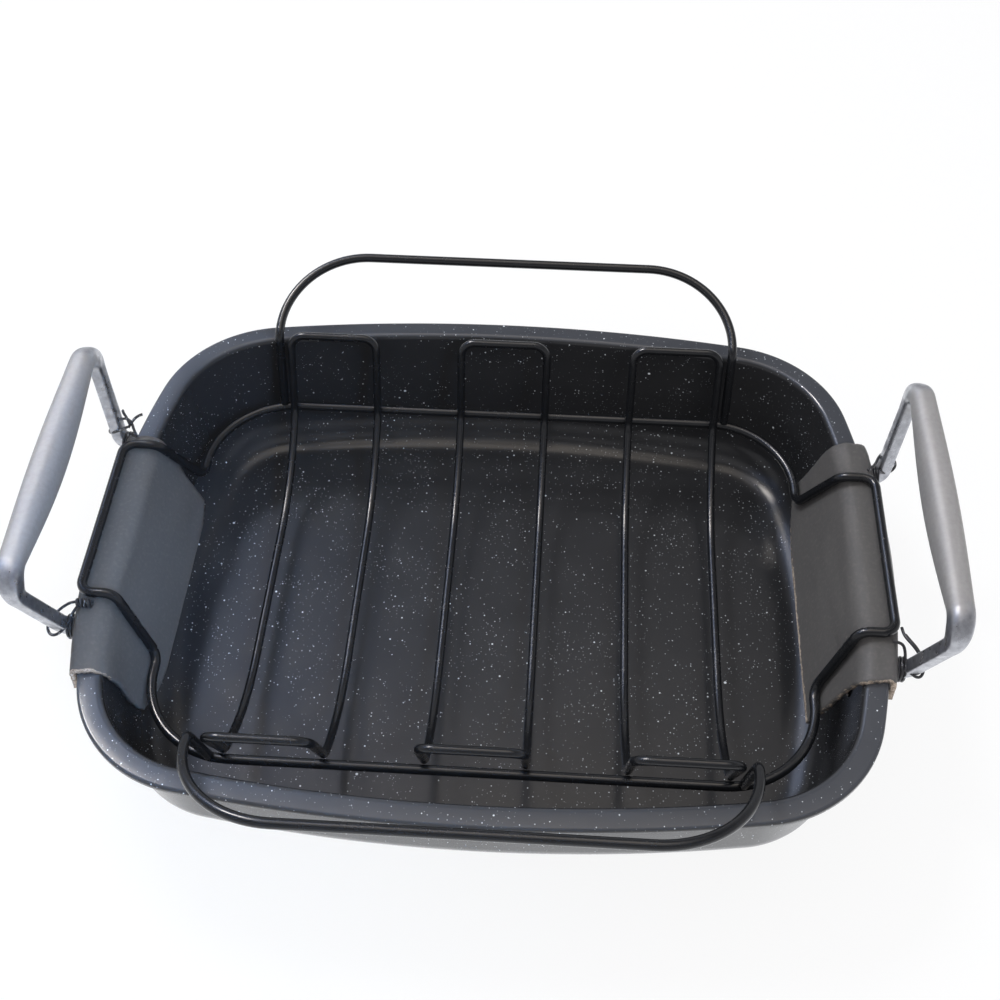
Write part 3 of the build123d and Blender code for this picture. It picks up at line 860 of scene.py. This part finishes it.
# Places in millimetres along each strand
TIE_STRANDS = {
    "tie_front_right": (
        ((204.9, -44.5, 80.4), (205.1, -47.5, 80.6), (206.3, -50.8, 80.8), (208.8, -54.4, 80.8),
         (211.3, -57.9, 79.8), (213.8, -60.8, 76.6), (214.9, -63.8, 72.5), (213.6, -66.3, 71),
         (211, -67.4, 72), (208.5, -66, 73), (206.7, -63.9, 73.5), (205.8, -60.5, 75),
         (205.6, -57, 78), (204.6, -54.6, 80.2), (202.5, -53.6, 81), (199.5, -53, 81)),
        ((206.2, -48.5, 80.3), (208, -51.8, 80.5), (210.4, -55.2, 80.3), (212.6, -58.5, 78.8),
         (214.2, -61.5, 75.6)),
    ),
    "tie_front_left": (
        ((-200.5, -54.5, 81.5), (-204, -54.5, 81), (-207.5, -56.5, 80), (-210.5, -58, 78),
         (-214, -60.5, 75.5), (-216, -64, 72.5), (-214.5, -67.5, 71), (-211.5, -68.5, 71.2),
         (-208, -66.8, 72.5), (-205, -63, 75), (-203, -59, 78.5), (-200, -56.5, 81.5)),
    ),
    "tie_back_left": (
        ((-202, 58.5, 84.5), (-206, 59.5, 81), (-210.5, 59.5, 78.5), (-214, 61.5, 75.5),
         (-215.8, 65, 73.5), (-214, 68.8, 74.5), (-210, 70, 77.5), (-205.5, 68, 81), (-202, 64, 84),
         (-199.5, 60.5, 85), (-198, 57, 83.5), (-196, 54.5, 81.2)),
        ((-200.5, 59.5, 85.5), (-202.5, 63, 86.5), (-205.5, 66.5, 87.5), (-206.5, 69, 86)),
        ((-201.5, 58.5, 84), (-199.5, 62, 86), (-197, 65, 87), (-195, 66.5, 86.5)),
    ),
    "tie_back_right": (
        ((199, 55, 81), (203, 58.5, 81), (206, 66, 79.5), (209.5, 71, 77.5), (213, 71.5, 75.5),
         (216.3, 69, 74), (216.6, 65.5, 73.2), (214, 62, 73), (210.5, 59.8, 73.8),
         (207.5, 58.6, 75.5), (206.3, 57.8, 77.5)),
    ),
}
# Turns wound along X, in millimetres: those round each handle arm, and one small coil
ARM_WRAP = {"place": (204.4, 60.9, 68.6), "length": 4.2, "radius": 5.9, "turns": 2.5}
COIL = {"place": (-197.5, -55.2, 81.4), "length": 7.5, "radius": 1.75, "turns": 4}
COIL_STEPS = 12


def coil_strand(coil, side_x=1, side_y=1):
    """Turns wound along X round a place, mirrored by the sides."""
    x, y, z = coil["place"]
    strand = []
    steps = round(coil["turns"] * COIL_STEPS)
    for step in range(steps + 1):
        angle = 2 * pi * step / COIL_STEPS
        strand.append((
            side_x * (x + coil["length"] * (step / steps - 0.5)),
            side_y * (y + coil["radius"] * cos(angle)),
            z + coil["radius"] * sin(angle),
        ))
    return strand


def make_tie(name, strands):
    """One tie, with a smooth spline for each strand."""
    data = bpy.data.curves.new(name, "CURVE")
    data.dimensions = "3D"
    data.bevel_depth = TIE_RADIUS
    data.bevel_resolution = TIE_ROUNDNESS
    data.resolution_u = TIE_SMOOTHNESS
    data.render_resolution_u = TIE_SMOOTHNESS
    data.use_fill_caps = True
    for strand in strands:
        spline = data.splines.new("NURBS")
        spline.points.add(len(strand) - 1)
        for knot, place in zip(spline.points, strand):
            knot.co = (*(Vector(place) * MM), 1)
        spline.order_u = TIE_ORDER
        spline.use_endpoint_u = True
    return link_object(name, data)


for name, strands in TIE_STRANDS.items():
    side_x = 1 if "right" in name else -1
    side_y = 1 if "back" in name else -1
    strands += (coil_strand(ARM_WRAP, side_x, side_y),)
    if name == "tie_front_left":
        strands += (coil_strand(COIL),)
    tie = dress(make_tie(f"{name}_wire", strands), tie_coat, "pan")
    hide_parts(name)

# The solids whose shape is right keep it, and get their materials

for name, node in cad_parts.items():
    if name.startswith("rack"):
        dress(node, rack_coat)
    elif "rivets" in name:
        dress(node, rivet_steel)

# Studio: pale floor, soft lights, the room that is reflected, and the camera

FLOOR_HALF = 6.0
FLOOR_TONE = ((0.9, 0.9, 0.9), (0.92, 0.92, 0.92))
FLOOR_WHITENESS = 0.86
# Painted light: how strongly the floor glows in reflections, by distance from the pan
FLOOR_MIRRORED_GLOW = ((0.4, 0.9), (1.3, 0.7))
MIRRORED_TINT = (0.97, 0.98, 1.0)
WHITE = (1, 1, 1)


def make_floor():
    """The pale floor: nearly white to the eye, with a soft shadow, and glowing in reflections as
    painted light, brightest near the pan.
    """
    surface = Surface("floor", Roughness=0.9)
    surface.into("Base Color", surface.mix(surface.noise(3, 2), *FLOOR_TONE))
    rays = surface.node("ShaderNodeLightPath").outputs
    lit = surface.shader.outputs["BSDF"]
    glow = surface.node("ShaderNodeEmission", Color=WHITE, Strength=1.0).outputs[0]
    seen = surface.math("MULTIPLY", rays["Is Camera Ray"], FLOOR_WHITENESS)
    shown = surface.node("ShaderNodeMixShader", i0=seen, i1=lit, i2=glow).outputs[0]
    far = surface.node("ShaderNodeVectorMath", {"operation": "LENGTH"}, i0=surface.place)
    # Painted light: in reflections the floor glows, strongest near the pan, in place of a lit floor
    distances, strengths = FLOOR_MIRRORED_GLOW
    strength = surface.ramp(far.outputs["Value"], *distances, *strengths)
    mirrored_glow = surface.node("ShaderNodeEmission", Color=MIRRORED_TINT, Strength=strength).outputs[0]
    bent = surface.math("MAXIMUM", rays["Is Glossy Ray"], rays["Is Transmission Ray"])
    whole = surface.node("ShaderNodeMixShader", i0=bent, i1=shown, i2=mirrored_glow).outputs[0]
    surface.feed(surface.output.inputs["Surface"], whole)
    edit = bmesh.new()
    bmesh.ops.create_grid(edit, x_segments=1, y_segments=1, size=FLOOR_HALF)
    mesh = bpy.data.meshes.new("floor")
    edit.to_mesh(mesh)
    edit.free()
    mesh.materials.append(surface.material)
    return link_object("floor", mesh)


make_floor()


def area_light(name, place, target, size, power, colour, spread=180):
    """A square softbox aimed at a target, unseen in reflections."""
    data = bpy.data.lights.new(name, "AREA")
    data.shape = "SQUARE"
    data.size = size
    data.energy = power
    data.color = colour
    data.spread = radians(spread)
    light = link_object(name, data)
    light.location = place
    light.rotation_euler = (Vector(target) - Vector(place)).to_track_quat("-Z", "Y").to_euler()
    light.visible_glossy = False


# Place, target, side, power and colour, and how wide the light spreads in degrees
area_light("window", (-0.66, 0.6, 1.25), (0, 0, 0.03), 0.4, 10, (0.93, 0.96, 1.0))
area_light("fill", (0.5, -0.9, 1.3), (0, 0, 0.03), 0.7, 7, (1.0, 0.97, 0.94))
area_light("cool_spot", (0.3, -0.7, 0.85), (-0.2, -0.03, 0.05), 0.25, 0.27, (0.28, 0.55, 1.0), 22)

# Reflected room: tones by how far a reflection looks up, and soft round patches with their
# direction, the angles in degrees where they are full and gone, and their colour
OVERHEAD = ((0.77, 0.9), (0.15, 0.15, 0.16), (0.72, 0.71, 0.74))
ROUND_ABOUT = ((0.45, 0.7), (0.5, 0.5, 0.52))
GLOWS = (
    ((-0.45, 0.32, 0.83), 4, 9, (42.0, 39.0, 36.0)),
    ((-0.46, 0.56, 0.69), 4, 17, (1.6, 1.8, 2.3)),
    ((-0.55, 0.3, 0.78), 6, 34, (0.5, 0.75, 1.4)),
    ((0.0, 0.15, 0.99), 4, 24, (1.5, 1.3, 1.05)),
)
AMBIENT = (0.68, 0.69, 0.73)


class Sky(NodeTree):
    """The studio round the object: white to the camera, and soft and uneven in reflections."""

    def __init__(self, world):
        super().__init__(world)
        self.direction = self.node("ShaderNodeTexCoord").outputs["Generated"]

    def glow(self, towards, inner, outer, colour):
        """A soft round patch, full inside one angle from a direction and gone at another."""
        aim = tuple(Vector(towards).normalized())
        facing = self.node("ShaderNodeVectorMath", {"operation": "DOT_PRODUCT"},
                           i0=self.direction, i1=aim).outputs["Value"]
        edge, full = cos(radians(outer)), cos(radians(inner))
        patch = self.node("ShaderNodeMapRange", {"interpolation_type": "SMOOTHERSTEP"},
                          i0=facing, i1=edge, i2=full, i3=0.0, i4=1.0)
        return self.mix(patch.outputs[0], (0, 0, 0), colour)

    def light(self, colour):
        """A background of one colour."""
        return self.node("ShaderNodeBackground", Color=colour, Strength=1.0).outputs[0]


def make_world():
    """The studio's world."""
    world = bpy.data.worlds.new("studio")
    bpy.context.scene.world = world
    sky = Sky(world)
    _, _, up = sky.axes(sky.direction)
    heights, low, high = OVERHEAD
    room = sky.mix(sky.ramp(up, *heights), low, high)
    heights, low = ROUND_ABOUT
    room = sky.mix(sky.ramp(up, *heights), low, room)
    for patch in GLOWS:
        room = sky.mix(1.0, room, sky.glow(*patch), "ADD")
    rays = sky.node("ShaderNodeLightPath").outputs
    glossy = rays["Is Glossy Ray"]
    lit = sky.node("ShaderNodeMixShader", i0=glossy, i1=sky.light(AMBIENT), i2=sky.light(room))
    through = sky.math("MAXIMUM", rays["Is Camera Ray"], rays["Is Transmission Ray"])
    seen = sky.node("ShaderNodeMixShader", i0=through, i1=lit.outputs[0], i2=sky.light(WHITE))
    output = sky.node("ShaderNodeOutputWorld")
    sky.feed(output.inputs["Surface"], seen.outputs[0])


make_world()

CAMERA_PLACE = (31.6 * MM, -421.6 * MM, 638.3 * MM)
CAMERA_TURN = (38.626, 0.041, 3.51)
CAMERA_LENS = 48.9
CAMERA_SENSOR = 36
CAMERA_REACH = 50

camera_data = bpy.data.cameras.new("camera")
camera_data.sensor_width = CAMERA_SENSOR
camera_data.lens = CAMERA_LENS
camera_data.clip_end = CAMERA_REACH
camera = link_object("camera", camera_data)
camera.location = CAMERA_PLACE
camera.rotation_euler = Euler([radians(angle) for angle in CAMERA_TURN], "XYZ")
bpy.context.scene.camera = camera
bpy.context.scene.view_settings.view_transform = "Standard"
